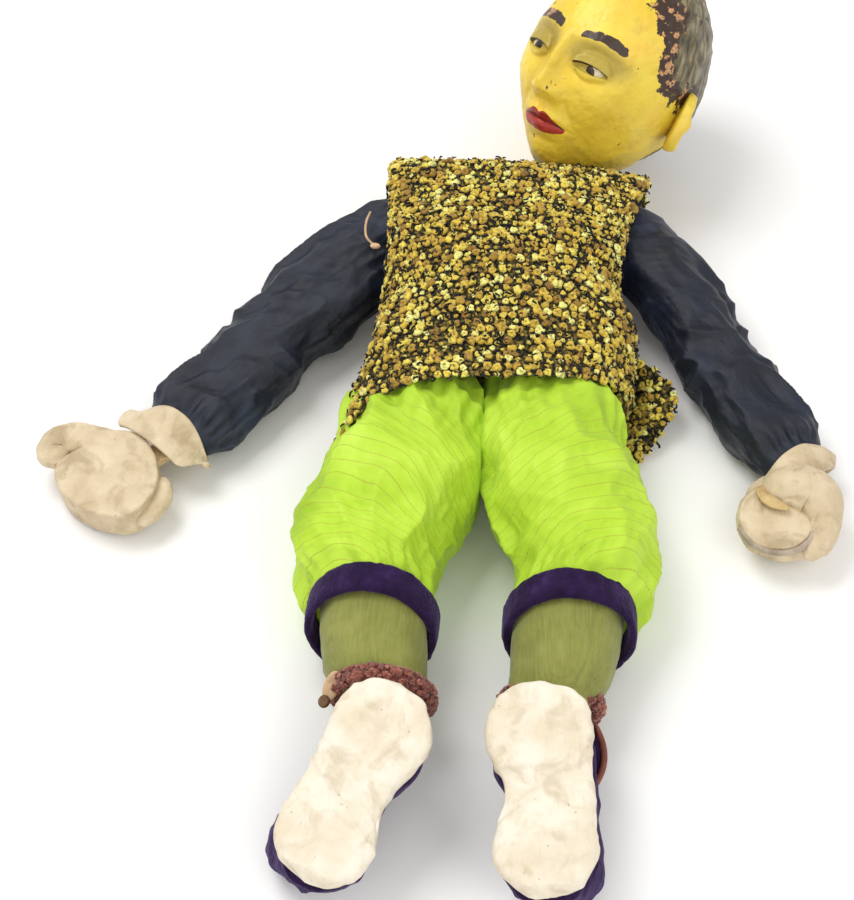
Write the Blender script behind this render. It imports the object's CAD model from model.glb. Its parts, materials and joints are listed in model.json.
"""Looks of a full-bodied jointed puppet: cloth, leather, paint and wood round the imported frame.

Each limb piece is drawn in its limb's own frame, X across, -Y towards the front and +Z towards
the body. The frames come from the record's joints. Sizes are in metres.
"""

import json
import math

import bpy
import numpy as np
from mathutils import Matrix, Vector


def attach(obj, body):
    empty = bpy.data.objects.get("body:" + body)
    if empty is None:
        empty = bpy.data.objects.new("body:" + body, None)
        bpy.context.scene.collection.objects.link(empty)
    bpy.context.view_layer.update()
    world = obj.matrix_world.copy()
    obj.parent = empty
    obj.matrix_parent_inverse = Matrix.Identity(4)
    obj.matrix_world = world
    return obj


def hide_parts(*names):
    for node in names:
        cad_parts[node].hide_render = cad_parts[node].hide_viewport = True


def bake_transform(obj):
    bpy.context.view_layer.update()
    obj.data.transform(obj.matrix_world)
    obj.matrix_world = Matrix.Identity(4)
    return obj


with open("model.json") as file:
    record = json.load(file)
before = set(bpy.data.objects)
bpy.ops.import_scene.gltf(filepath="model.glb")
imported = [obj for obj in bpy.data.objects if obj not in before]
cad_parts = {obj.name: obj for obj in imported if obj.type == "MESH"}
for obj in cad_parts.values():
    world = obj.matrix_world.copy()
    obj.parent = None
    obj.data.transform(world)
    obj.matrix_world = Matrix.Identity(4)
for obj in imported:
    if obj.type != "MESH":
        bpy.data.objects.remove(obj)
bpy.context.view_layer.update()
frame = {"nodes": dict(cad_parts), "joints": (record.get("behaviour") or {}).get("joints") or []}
JOINTS = {joint["name"]: joint for joint in frame["joints"]}
SIGN = {"right": -1.0, "left": 1.0}
FRONT = -math.pi / 2  # the angle round a limb that faces up at rest
FLOOR = 0.0005
rng = np.random.default_rng(11)


# ---- numbers ---------------------------------------------------------------
def smooth(t):
    t = np.clip(t, 0.0, 1.0)
    return t * t * (3 - 2 * t)


def hill(t, centre, width):
    return np.exp(-(((t - centre) / width) ** 2))


def bent(v, power):
    return np.sign(v) * np.abs(v) ** power


def circle(count):
    return np.linspace(0, 2 * math.pi, count, endpoint=False)


def steps_along(path):
    return np.linalg.norm(np.diff(path, axis=0), axis=1)


def along(t, table):
    """The table's columns at each t on a smooth curve; the first column is t."""
    table = np.array(sorted(table), float)
    knots, values = table[:, 0], table[:, 1:]
    slopes = np.gradient(values, knots, axis=0)
    t = np.clip(np.asarray(t, float), knots[0], knots[-1])
    low = np.clip(np.searchsorted(knots, t) - 1, 0, len(knots) - 2)
    gap = (knots[low + 1] - knots[low])[..., None]
    f = (t[..., None] - knots[low][..., None]) / gap
    made = values[low] * (2 * f**3 - 3 * f**2 + 1) + values[low + 1] * (3 * f**2 - 2 * f**3)
    made = made + gap * slopes[low] * (f**3 - 2 * f**2 + f) + gap * slopes[low + 1] * (f**3 - f**2)
    return np.moveaxis(made, -1, 0)


def lattice(cell, seed):
    """A repeatable number in -1..1 for each whole-number cell."""
    h = cell[..., 0] * 73856093 ^ cell[..., 1] * 19349663 ^ cell[..., 2] * 83492791
    h = (h ^ (seed * 668265263 + 374761393)) & 0xFFFFFFFF
    h = ((h ^ (h >> 15)) * 2246822519) & 0xFFFFFFFF
    h = ((h ^ (h >> 13)) * 3266489917) & 0xFFFFFFFF
    return ((h ^ (h >> 16)) & 0xFFFF) / 32767.5 - 1


def noise(points, scale, seed=0, octaves=1):
    """Smooth noise in about -1..1; scale is the size of a bump, one number or one an axis."""
    total, gain = 0.0, 1.0
    for octave in range(octaves):
        q = points / np.asarray(scale) * 2**octave
        cell = np.floor(q).astype(np.int64)
        f = smooth(q - cell)
        value = 0.0
        for corner in np.ndindex(2, 2, 2):
            weight = np.prod(np.where(np.array(corner), f, 1 - f), axis=-1)
            value = value + weight * lattice(cell + np.array(corner), seed * 7 + octave)
        total = total + gain * value
        gain *= 0.5
    return total


def creases(points, size, seed, depth, crest=0.5, sharp=2.0):
    """Folds with a sharp crest wherever the noise crosses zero."""
    return depth * (crest - np.abs(noise(points, size, seed)) * sharp)


def forms(x, z, table):
    """Rounded lumps added up: depth, middle and width across, middle and width up."""
    return sum(depth * hill(x, x0, wide) * hill(z, z0, tall) for depth, x0, wide, z0, tall in table)


# ---- meshes ----------------------------------------------------------------
def grid_faces(rows, cols, round_cols=True, round_rows=False, flip=False):
    r, c = np.meshgrid(np.arange(rows if round_rows else rows - 1),
        np.arange(cols if round_cols else cols - 1), indexing="ij")
    below, right = (r + 1) % rows, (c + 1) % cols
    faces = np.stack([r * cols + c, below * cols + c, below * cols + right, r * cols + right], -1)
    return faces.reshape(-1, 4)[:, ::-1 if flip else 1].tolist()


def moved(points, place):
    """Points of a piece's own frame, in the world's."""
    turn = np.array(place, float)
    return points @ turn[:3, :3].T + turn[:3, 3]


def make(name, verts, faces, material, slot, place, **fields):
    """A mesh piece drawn in its own frame and moved to its place, with that drawing kept as
    the "drawn" attribute so that a material stays on the cloth when the piece bends."""
    verts = np.asarray(verts, float).reshape(-1, 3)
    mesh = bpy.data.meshes.new(name)
    mesh.from_pydata(moved(verts, place).tolist(), [], faces)
    mesh.attributes.new("drawn", "FLOAT_VECTOR", "POINT").data.foreach_set(
        "vector", verts.astype(np.float32).ravel())
    for field, values in fields.items():
        mesh.attributes.new(field, "FLOAT", "POINT").data.foreach_set(
            "value", np.asarray(values, np.float32).ravel())
    mesh.materials.append(material)
    mesh.shade_smooth()
    piece = bpy.data.objects.new(name, mesh)
    bpy.context.scene.collection.objects.link(piece)
    return piece


def capped(points):
    """Verts and faces of a tube of rings, closed at both ends by a point in the middle."""
    rows, cols = points.shape[:2]
    verts = np.concatenate([points.reshape(-1, 3), points[0].mean(0)[None], points[-1].mean(0)[None]])
    faces = grid_faces(rows, cols)
    first, last = rows * cols, rows * cols + 1
    for c in range(cols):
        d = (c + 1) % cols
        faces.append([first, c, d])
        faces.append([last, (rows - 1) * cols + d, (rows - 1) * cols + c])
    return verts, faces


def thicken(piece, wall, offset=-1.0):
    cloth = piece.modifiers.new("thickness", "SOLIDIFY")
    cloth.thickness, cloth.offset = wall, offset


def ring_points(z, cx, cy, a, b, angles, power=2.0):
    """Rings of a limb: rows of z against angles, with the section's squareness as power."""
    c, s = np.cos(angles)[None], np.sin(angles)[None]
    return np.stack([cx[:, None] + a[:, None] * bent(c, 2 / power),
        cy[:, None] + b[:, None] * bent(s, 2 / power), z[:, None] + 0 * c], -1)


def normals(points, round_cols=True):
    """Outward unit normals of a grid of rings that run down the limb."""
    if round_cols:
        across = np.roll(points, -1, 1) - np.roll(points, 1, 1)
    else:
        across = np.gradient(points, axis=1)
    n = np.cross(np.gradient(points, axis=0), across)
    return n / np.maximum(np.linalg.norm(n, axis=-1, keepdims=True), 1e-12)


def above_floor(points, place):
    """Pushes what would sink into the floor back up to it, in the piece's own frame."""
    lift = np.maximum(FLOOR - moved(points, place)[..., 2], 0)
    return points + lift[..., None] * np.array(place[2][:3], float)


def swept(path, radii, sides=12, flat=1.0, up=(0, -1, 0)):
    """Rings along a path; flat is the section's depth along up as a share of its width."""
    path = np.asarray(path, float)
    ahead = np.gradient(path, axis=0)
    ahead /= np.linalg.norm(ahead, axis=1, keepdims=True)
    side = np.cross(ahead, np.asarray(up, float))
    side /= np.maximum(np.linalg.norm(side, axis=1, keepdims=True), 1e-9)
    top = np.cross(side, ahead)
    angles = circle(sides)
    radii = np.broadcast_to(radii, len(path))[:, None, None]
    c, s = np.cos(angles)[None, :, None], flat * np.sin(angles)[None, :, None]
    return path[:, None] + radii * (c * side[:, None] + s * top[:, None])


# ---- limb frames -----------------------------------------------------------
HAND_TURN = {"right": math.radians(13.5), "left": math.radians(35)}
HEAD_TURN = math.radians(-10)
HEAD_ABOVE_NOD = 0.113


def spot(joint):
    return Vector(JOINTS[joint]["pos_m"])


def axes(x, y, z, origin):
    return Matrix.Translation(origin) @ Matrix((x, y, z)).transposed().to_4x4()


def limb_frame(start, end, front=(0, 0, 1)):
    z = (start - end).normalized()
    x = z.cross(Vector(front)).normalized()
    return axes(x, z.cross(x), z, start)


def find_frames():
    middle = (spot("right_hip") + spot("left_hip")) / 2
    base = Vector((middle.x, middle.y, 0))
    found = {"torso": limb_frame(base, base - Vector((0, 1, 0)))}
    stem_x, stem_z = Vector(JOINTS["head_nod"]["axis"]), Vector(JOINTS["head_turn"]["axis"])
    stem = axes(stem_x, stem_z.cross(stem_x), stem_z, spot("head_turn"))
    raised = Matrix.Translation((0, 0, HEAD_ABOVE_NOD))
    found["head"] = stem @ Matrix.Rotation(HEAD_TURN, 4, "Z") @ raised
    found["neck"] = limb_frame(spot("neck_lean"), spot("head_nod"))
    for side in SIGN:
        joints = ("_shoulder_swing", "_elbow", "_wrist", "_hip", "_knee", "_ankle")
        shoulder, elbow, wrist, hip, knee, ankle = (spot(side + name) for name in joints)
        found[side + "_upper_arm"] = limb_frame(shoulder, elbow)
        fore = found[side + "_forearm"] = limb_frame(elbow, wrist)
        found[side + "_hand"] = (Matrix.Translation(wrist) @ fore.to_3x3().to_4x4()
                                 @ Matrix.Rotation(HAND_TURN[side], 4, "Y"))
        found[side + "_thigh"] = limb_frame(hip, knee)
        found[side + "_shin"] = limb_frame(knee, ankle)
        turned = limb_frame(knee, ankle, (0, 0, -1)).to_3x3().to_4x4()
        found[side + "_collar"] = Matrix.Translation(ankle) @ turned
        x = -Vector(JOINTS[side + "_ankle"]["axis"])
        found[side + "_foot"] = axes(x, Vector((0, 0, 1)), x.cross(Vector((0, 0, 1))), ankle)
    return found


FRAMES = find_frames()
UPPER_ARM = (spot("left_elbow") - spot("left_shoulder_swing")).length
FOREARM = (spot("left_wrist") - spot("left_elbow")).length


# ---- materials -------------------------------------------------------------
class Paint:
    """A Principled material under construction, with short calls for its nodes."""

    def __init__(self, name, roughness=0.8, **sockets):
        self.material = bpy.data.materials.new(name)
        self.material.use_nodes = True
        self.tree = self.material.node_tree
        self.shader = self.tree.nodes["Principled BSDF"]
        self.shader.inputs["Roughness"].default_value = roughness
        for socket, value in sockets.items():
            self.shader.inputs[socket.replace("_", " ")].default_value = value
        self.normal = None

    def feed(self, value, socket):
        """Links a node's output to the socket, or sets it to a number, vector or colour."""
        if isinstance(value, bpy.types.NodeSocket):
            self.tree.links.new(value, socket)
        else:
            socket.default_value = (*value, 1.0) if socket.type == "RGBA" else value

    def node(self, kind, *inputs, **named):
        """A new node with its first inputs in order; Capitals name inputs, the rest settings."""
        made = self.tree.nodes.new("ShaderNode" + kind)
        for key, value in named.items():
            if key[0].isupper():
                self.feed(value, made.inputs[key])
            else:
                setattr(made, key, value)
        for value, socket in zip(inputs, made.inputs):
            self.feed(value, socket)
        return made.outputs

    def field(self, name):
        return self.node("Attribute", attribute_name=name)["Vector" if name == "drawn" else "Fac"]

    def math(self, operation, a, b=0.0):
        return self.node("Math", a, b, operation=operation)[0]

    def scaled(self, source, scale):
        return self.node("VectorMath", source, scale, operation="MULTIPLY")[0]

    def stretched(self, *scale):
        return self.scaled(self.field("drawn"), scale)

    def noise(self, size, detail=4.0, rough=0.55, stretch=(1, 1, 1), distortion=0.0):
        """Noise whose bumps are about size metres wide."""
        return self.node("TexNoise", Vector=self.stretched(*(k / size for k in stretch)), Scale=0.5,
            Detail=detail, Roughness=rough, Distortion=distortion)["Fac"]

    def own_noise(self, stretch, detail=2.0):
        """Noise in the object's own coordinates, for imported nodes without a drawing."""
        own = self.scaled(self.node("TexCoord")["Object"], stretch)
        return self.node("TexNoise", Vector=own, Scale=1.0, Detail=detail)["Fac"]

    def cells(self, size):
        return self.node("TexVoronoi", Vector=self.stretched(*(1 / size,) * 3), Scale=1.0)["Distance"]

    def threads(self, size, axis):
        """Parallel threads across one axis of the drawing, size metres apart."""
        return self.node("TexWave", Vector=self.stretched(*(1 / size,) * 3), Scale=0.314,
            Distortion=1.2, Detail=2.0, bands_direction=axis)["Fac"]

    def ramp(self, factor, *stops):
        made = self.tree.nodes.new("ShaderNodeValToRGB")
        elements = made.color_ramp.elements
        while len(elements) < len(stops):
            elements.new(0.5)
        for element, (place, colour) in zip(elements, stops):
            element.position = place
            colour = (colour,) * 3 if isinstance(colour, (int, float)) else colour
            element.color = (*colour, 1.0)
        self.feed(factor, made.inputs["Fac"])
        return made.outputs["Color"]

    def mix(self, factor, a, b, blend="MIX"):
        made = self.tree.nodes.new("ShaderNodeMix")
        made.data_type, made.blend_type = "RGBA", blend
        for place, value in ((0, factor), (6, a), (7, b)):
            self.feed(value, made.inputs[place])
        return made.outputs[2]

    def colour(self, source):
        self.feed(source, self.shader.inputs["Base Color"])
        return self

    def rough(self, factor, low, high):
        self.feed(self.ramp(factor, (0.2, low), (0.8, high)), self.shader.inputs["Roughness"])
        return self

    def bump(self, height, distance):
        """Adds a bump layer over the ones before it; distance is its depth in metres."""
        below = {"Normal": self.normal} if self.normal else {}
        self.normal = self.node("Bump", Distance=distance, Strength=1.0, Height=height, **below)[0]
        self.feed(self.normal, self.shader.inputs["Normal"])
        return self


def satin_paint():
    """Dark navy satin: fine cross threads, a bluish bloom where it is rubbed."""
    p = Paint("navy_satin", 0.46, Sheen_Weight=0.03, Sheen_Roughness=0.35, Specular_IOR_Level=0.40,
        Sheen_Tint=(0.35, 0.42, 0.75, 1))
    wear = p.noise(0.022, 5)
    p.colour(p.ramp(wear, (0.3, (0.003, 0.0045, 0.010)), (0.55, (0.006, 0.010, 0.022)),
        (0.75, (0.017, 0.027, 0.062))))
    p.rough(p.noise(0.008, 4), 0.32, 0.58)
    p.bump(p.noise(0.0045, 4, stretch=(1, 1, 0.35)), 0.0014)
    p.bump(p.threads(0.0006, "Z"), 0.00006)
    p.bump(p.threads(0.0005, "X"), 0.00004)
    return p.material


def cotton_paint():
    """Lime cotton with rust dashes of topstitching along its quilted lines."""
    p = Paint("lime_cotton", 0.55, Sheen_Weight=0.06, Specular_IOR_Level=0.35)
    fade = p.ramp(p.noise(0.03, 4), (0.3, (0.33, 0.52, 0.014)), (0.5, (0.43, 0.64, 0.028)),
        (0.72, (0.55, 0.76, 0.075)))
    soil = p.ramp(p.noise(0.05, 5, distortion=0.4), (0.62, 0.0), (0.8, 0.16))
    cloth = p.mix(soil, fade, (0.30, 0.42, 0.05))
    line = p.math("ABSOLUTE", p.math("SUBTRACT", p.math("FRACT", p.field("quilt")), 0.5))
    near = p.math("GREATER_THAN", line, 0.476)
    dash = p.math("GREATER_THAN", p.math("FRACT", p.math("MULTIPLY", p.field("run"), 1 / 0.0026)), 0.36)
    stitch = p.math("MULTIPLY", p.math("MULTIPLY", near, dash), p.field("stitched"))
    shade = p.ramp(line, (0.40, 0.0), (0.5, 0.28))
    valley = p.mix(shade, cloth, (0.36, 0.48, 0.02))
    p.colour(p.mix(p.math("MULTIPLY", stitch, 0.62), valley, (0.33, 0.12, 0.03)))
    p.rough(p.noise(0.012, 3), 0.45, 0.65)
    p.bump(p.noise(0.006, 5, distortion=0.3), 0.0008)
    p.bump(p.threads(0.0005, "Z"), 0.00004)
    p.bump(p.threads(0.0005, "X"), 0.00004)
    return p.material


def yarn_paint(name, *stops, sheen=0.25):
    """Yarn whose colour comes from each knot's own tint, with twist and fuzz in the bump."""
    p = Paint(name, 0.88, Sheen_Weight=sheen, Specular_IOR_Level=0.2)
    worn = p.ramp(p.noise(0.0013, 4, 0.7), (0.36, 0.34), (0.50, 0.90), (0.62, 1.0))
    p.colour(p.mix(1.0, p.ramp(p.field("tint"), *stops), worn, "MULTIPLY"))
    p.bump(p.noise(0.0011, 4, 0.7), 0.0011)
    return p.material


def backing_paint():
    """The dark open weave under the tweed's knots."""
    p = Paint("tweed_backing", 0.95, Sheen_Weight=0.1, Specular_IOR_Level=0.15)
    specks = p.ramp(p.cells(0.0030), (0.18, (0.30, 0.21, 0.050)), (0.42, (0.12, 0.095, 0.026)),
        (0.72, (0.010, 0.010, 0.008)))
    p.colour(specks)
    p.bump(p.cells(0.0024), 0.0010)
    p.bump(p.threads(0.0012, "Y"), 0.0004)
    return p.material


def leather_paint(name, light, dark, stain):
    """Kid leather: pores, a soft crackle, grime in patches and a few darker spots."""
    p = Paint(name, 0.55, Specular_IOR_Level=0.35)
    base = p.ramp(p.noise(0.016, 6), (0.34, dark), (0.60, light))
    grime = p.ramp(p.noise(0.010, 6, distortion=0.6), (0.50, 0.0), (0.66, 0.60))
    soiled = p.mix(grime, base, stain)
    spots = p.ramp(p.cells(0.012), (0.03, 0.55), (0.085, 0.0))
    p.colour(p.mix(spots, soiled, tuple(0.55 * v for v in stain)))
    p.rough(p.noise(0.006, 4), 0.42, 0.66)
    p.bump(p.noise(0.0050, 6, stretch=(1.6, 1, 0.4), distortion=0.5), 0.0012)
    p.bump(p.noise(0.0022, 4, stretch=(1, 1, 0.5)), 0.0005)
    p.bump(p.cells(0.0007), 0.00012)
    return p.material


def velvet_paint():
    p = Paint("purple_velvet", 0.9, Sheen_Weight=0.32, Sheen_Roughness=0.4,
        Sheen_Tint=(0.55, 0.42, 0.85, 1), Specular_IOR_Level=0.1)
    p.colour(p.ramp(p.noise(0.006, 5), (0.3, (0.011, 0.005, 0.022)), (0.6, (0.024, 0.010, 0.048)),
        (0.8, (0.050, 0.026, 0.088))))
    p.bump(p.noise(0.0011, 4), 0.0011)
    return p.material


def jersey_paint():
    """Olive stocking cloth with fine vertical ribs, mottled and slightly pilled."""
    p = Paint("olive_jersey", 0.85, Sheen_Weight=0.15, Specular_IOR_Level=0.25)
    ground = p.ramp(p.noise(0.018, 5), (0.3, (0.155, 0.165, 0.028)), (0.55, (0.215, 0.225, 0.046)),
        (0.75, (0.29, 0.29, 0.085)))
    ribs = p.noise(0.0014, 3, stretch=(1.6, 1.6, 0.12))
    p.colour(p.mix(p.ramp(ribs, (0.35, 0.0), (0.65, 0.35)), ground, (0.32, 0.33, 0.10)))
    p.bump(ribs, 0.0005)
    p.bump(p.noise(0.0006, 3), 0.0002)
    return p.material


def calico_paint():
    p = Paint("calico", 0.9, Specular_IOR_Level=0.2)
    p.colour(p.ramp(p.noise(0.02, 4), (0.3, (0.52, 0.45, 0.33)), (0.7, (0.66, 0.60, 0.48))))
    p.bump(p.threads(0.0009, "Z"), 0.0002)
    p.bump(p.threads(0.0009, "X"), 0.0002)
    return p.material


def pine_paint():
    """Bare pine with its grain along Y."""
    p = Paint("bare_pine", 0.6, Specular_IOR_Level=0.3)
    grain = p.own_noise((420, 60, 420), 5.0)
    p.colour(p.ramp(grain, (0.3, (0.50, 0.33, 0.15)), (0.6, (0.72, 0.54, 0.30)),
        (0.8, (0.80, 0.65, 0.42))))
    p.bump(grain, 0.0003)
    return p.material


def metal_paint(name, colour, tarnish, roughness):
    p = Paint(name, roughness, Metallic=1.0)
    cloud = p.own_noise((260, 260, 260))
    p.colour(p.ramp(cloud, (0.4, tarnish), (0.6, colour)))
    p.rough(cloud, roughness, roughness + 0.25)
    p.bump(cloud, 0.0002)
    return p.material


def face_paint():
    """Ochre-yellow oil paint on carved wood. Fields drawn on the mesh say where the hair,
    brows, lips and lids are painted; noise chips their edges and wears the high places."""
    p = Paint("yellow_paint", 0.42, Specular_IOR_Level=0.42, Coat_Weight=0.08)
    tone = p.ramp(p.noise(0.035, 5), (0.28, (0.60, 0.40, 0.026)), (0.5, (0.76, 0.55, 0.045)),
        (0.75, (0.86, 0.69, 0.10)))
    blush = p.ramp(p.noise(0.030, 3, distortion=0.3), (0.52, 0.0), (0.72, 0.55))
    tone = p.mix(blush, tone, (0.80, 0.42, 0.055))
    grime = p.ramp(p.noise(0.010, 6, distortion=0.5), (0.54, 0.0), (0.74, 0.45))
    skin = p.mix(grime, tone, (0.36, 0.26, 0.045))
    skin = p.mix(p.field("shaded"), skin, (0.27, 0.20, 0.035))
    chips = p.noise(0.0065, 7, 0.68)

    def painted(field, edge, under, over):
        """over where the field outweighs the chip noise."""
        weight = p.math("ADD", p.field(field), p.math("MULTIPLY", chips, edge))
        where = p.math("SUBTRACT", weight, 0.5 + edge / 2)
        return p.mix(p.ramp(where, (0.0, 0.0), (0.06, 1.0)), under, over)

    strands = p.noise(0.0030, 4, stretch=(1, 1, 0.25))
    hair = p.ramp(strands, (0.35, (0.040, 0.028, 0.016)), (0.52, (0.14, 0.110, 0.050)),
        (0.68, (0.30, 0.25, 0.13)))
    brown_dark = (0.040, 0.018, 0.010)
    look = painted("hair", 0.5, skin, hair)
    scar = p.ramp(p.noise(0.0045, 5), (0.57, brown_dark), (0.60, (0.48, 0.22, 0.08)),
        (0.64, (0.60, 0.34, 0.16)), (0.68, brown_dark))
    look = painted("edge", 3.0, look, scar)
    look = painted("brow", 1.3, look, scar)
    lips = p.ramp(p.noise(0.004, 4), (0.3, (0.24, 0.012, 0.008)), (0.7, (0.42, 0.035, 0.02)))
    look = painted("lip", 0.35, look, lips)
    look = painted("line", 0.4, look, (0.022, 0.014, 0.010))
    p.colour(look)
    p.rough(p.noise(0.007, 4), 0.32, 0.58)
    p.bump(p.ramp(p.math("ADD", p.field("hair"), p.math("MULTIPLY", chips, 0.5)), (0.72, 0.0),
        (0.80, 1.0)), 0.0006)
    p.bump(p.noise(0.006, 5), 0.0009)
    p.bump(p.noise(0.0012, 4), 0.00025)
    return p.material


def eye_paint():
    p = Paint("painted_eyes", 0.25, Specular_IOR_Level=0.5, Coat_Weight=0.3)
    white = p.ramp(p.noise(0.003, 3), (0.3, (0.55, 0.46, 0.25)), (0.7, (0.72, 0.64, 0.42)))
    iris = p.ramp(p.field("iris"), (0.30, (0.005, 0.005, 0.005)), (0.36, (0.035, 0.016, 0.008)),
        (0.52, (0.055, 0.026, 0.012)), (0.60, (0.008, 0.006, 0.005)))
    p.colour(p.mix(p.ramp(p.field("iris"), (0.62, 1.0), (0.68, 0.0)), white, iris))
    p.bump(p.noise(0.0015, 3), 0.0001)
    return p.material


SATIN, COTTON, VELVET, JERSEY = satin_paint(), cotton_paint(), velvet_paint(), jersey_paint()
BACKING = backing_paint()
KNOT = yarn_paint("tweed_knots", (0.0, (0.30, 0.16, 0.022)), (0.25, (0.55, 0.34, 0.040)),
    (0.55, (0.74, 0.52, 0.060)), (0.78, (0.88, 0.70, 0.10)), (1.0, (0.95, 0.90, 0.28)))
SLUB = yarn_paint("tweed_slubs", (0.0, (0.008, 0.008, 0.007)), (0.8, (0.022, 0.020, 0.014)),
    (1.0, (0.13, 0.10, 0.035)), sheen=0.1)
TUFT = yarn_paint("rust_chenille", (0.0, (0.20, 0.050, 0.034)), (0.6, (0.34, 0.095, 0.062)),
    (1.0, (0.46, 0.16, 0.10)), sheen=0.4)
KID = leather_paint("cream_kid", (0.67, 0.55, 0.37), (0.54, 0.42, 0.26), (0.32, 0.23, 0.12))
SOLE_KID = leather_paint("cream_sole", (0.80, 0.73, 0.60), (0.70, 0.60, 0.44), (0.52, 0.42, 0.27))
BINDING = leather_paint("grey_binding", (0.50, 0.41, 0.31), (0.40, 0.32, 0.24), (0.22, 0.17, 0.12))
BUFF = leather_paint("buff_leather", (0.60, 0.44, 0.20), (0.48, 0.32, 0.13), (0.28, 0.17, 0.07))
TAN_PALE = leather_paint("tan_thong", (0.62, 0.42, 0.24), (0.50, 0.31, 0.16), (0.26, 0.15, 0.08))
HORN = leather_paint("brown_horn", (0.20, 0.10, 0.045), (0.10, 0.05, 0.022), (0.05, 0.025, 0.012))
TUFT_PLAIN = leather_paint("rust_edge", (0.24, 0.07, 0.04), (0.16, 0.04, 0.025), (0.09, 0.02, 0.015))
CALICO, PINE, FACE, EYE = calico_paint(), pine_paint(), face_paint(), eye_paint()
BRASS = metal_paint("brass", (0.75, 0.58, 0.25), (0.40, 0.27, 0.10), 0.3)
STEEL = metal_paint("steel", (0.55, 0.55, 0.57), (0.28, 0.25, 0.22), 0.32)


# ---- head ------------------------------------------------------------------
HEAD_HALF = (0.072, 0.089, 0.103)
EYE_AT, EYE_R = (0.0280, 0.0010), 0.0112
MOUTH = -0.0555


FACE_FORMS = (
    # depth, middle and width across (both sides alike), middle and width up
    (0.0050, 0, 0.0075, 0.004, 0.020),  # root of the nose
    (0.0050, 0, 0.0075, -0.0285, 0.0085),  # its tip
    (0.0058, 0.0100, 0.0048, -0.0320, 0.0062),  # its wings
    (-0.0030, 0.0058, 0.0026, -0.0385, 0.0030),  # nostrils
    (-0.0068, 0.0270, 0.0160, 0.0020, 0.0125),  # eye sockets
    (0.0042, 0.042, 0.018, -0.026, 0.016),  # cheeks
    (-0.0030, 0.060, 0.012, 0.026, 0.020),  # temples
    (0.0035, 0, 0.026, MOUTH, 0.0150),  # rise under the lips
    (0.0046, 0, 0.0145, MOUTH - 0.0058, 0.0044),  # lower lip
    (-0.0015, 0, 0.0030, -0.0450, 0.0050),  # dip under the nose
    (-0.0022, 0, 0.0150, MOUTH - 0.0140, 0.0045),  # dip over the chin
    (0.0082, 0, 0.0200, -0.0830, 0.0130),  # chin
)
EAR_FORMS = (
    (-0.0036, 0.05, 0.35, -0.05, 0.42),  # hollow
    (0.0022, 0.30, 0.14, 0.20, 0.45),  # inner rim
    (0.0034, -0.70, 0.16, -0.10, 0.22),  # flap in front
    (0.0016, 0.0, 0.40, -0.78, 0.25),  # lobe
)


def lip_bow(ax):
    """The rise of the upper lip's edge either side of its middle."""
    return 0.0020 * hill(ax, 0.0060, 0.0050) - 0.0012 * hill(ax, 0, 0.0028)


def lid_lines(dx):
    """Heights of the upper and lower lid edges at a distance across from the eye's middle."""
    arch = 1 - (dx / 0.0150) ** 2
    return -0.0022 + 0.0030 * arch, -0.0048 - 0.0022 * arch


def hairline(ax, y):
    front = along(ax, [(0, 0.078), (0.018, 0.081), (0.036, 0.075), (0.050, 0.061), (0.059, 0.040),
        (0.066, 0.018), (0.080, 0.004)])[0]
    return front + (-0.058 - front) * smooth((y - 0.020) / 0.020)


def face_relief(x, z):
    """How far the carving stands out from the egg at x, z of the face's front."""
    ax = np.abs(x)
    out = forms(ax, z, FACE_FORMS)
    ridge = 0.0058 + 0.0045 * smooth((-z - 0.010) / 0.02)
    out += 0.0125 * hill(x, 0, ridge) * smooth((0.012 - z) / 0.040) * smooth((z + 0.04) / 0.008)
    out += 0.0032 * hill(ax, 0.026, 0.020) * hill(z, 0.0205 - 4.0 * (ax - 0.026) ** 2, 0.0065)
    out -= 0.0022 * hill(ax - 0.40 * (-0.030 - z), 0.0165, 0.0042) * hill(z, -0.041, 0.011)
    out += 0.0036 * hill(x, 0, 0.0165) * hill(z, MOUTH + 0.0045 + lip_bow(ax), 0.0034)
    out -= 0.0036 * hill(x, 0, 0.0200) * hill(z, MOUTH + 0.0008 - 1.5 * ax**2, 0.0013)
    # the closed part of the eye: a ball under two lids, open only in a narrow almond
    dx, dz = ax - EYE_AT[0], z - EYE_AT[1]
    ball = 1 - (dx / 0.0165) ** 2 - (dz / 0.0125) ** 2
    out += 0.0078 * np.sqrt(np.clip(ball, 0, 1)) * smooth(ball / 0.25)
    upper, lower = lid_lines(dx)
    opening = smooth((upper - dz) / 0.0009) * smooth((dz - lower) / 0.0009)
    opening = opening * smooth((0.0142 - np.abs(dx)) / 0.0015)
    out += 0.0011 * hill(dz, upper, 0.0016) * smooth((0.0165 - np.abs(dx)) / 0.003)
    out += 0.0007 * hill(dz, lower, 0.0014) * smooth((0.0160 - np.abs(dx)) / 0.003)
    out -= 0.0010 * hill(dz, 0.0088 - 18 * dx**2, 0.0011) * smooth((0.0170 - np.abs(dx)) / 0.004)
    out -= 0.0050 * opening
    return out


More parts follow.
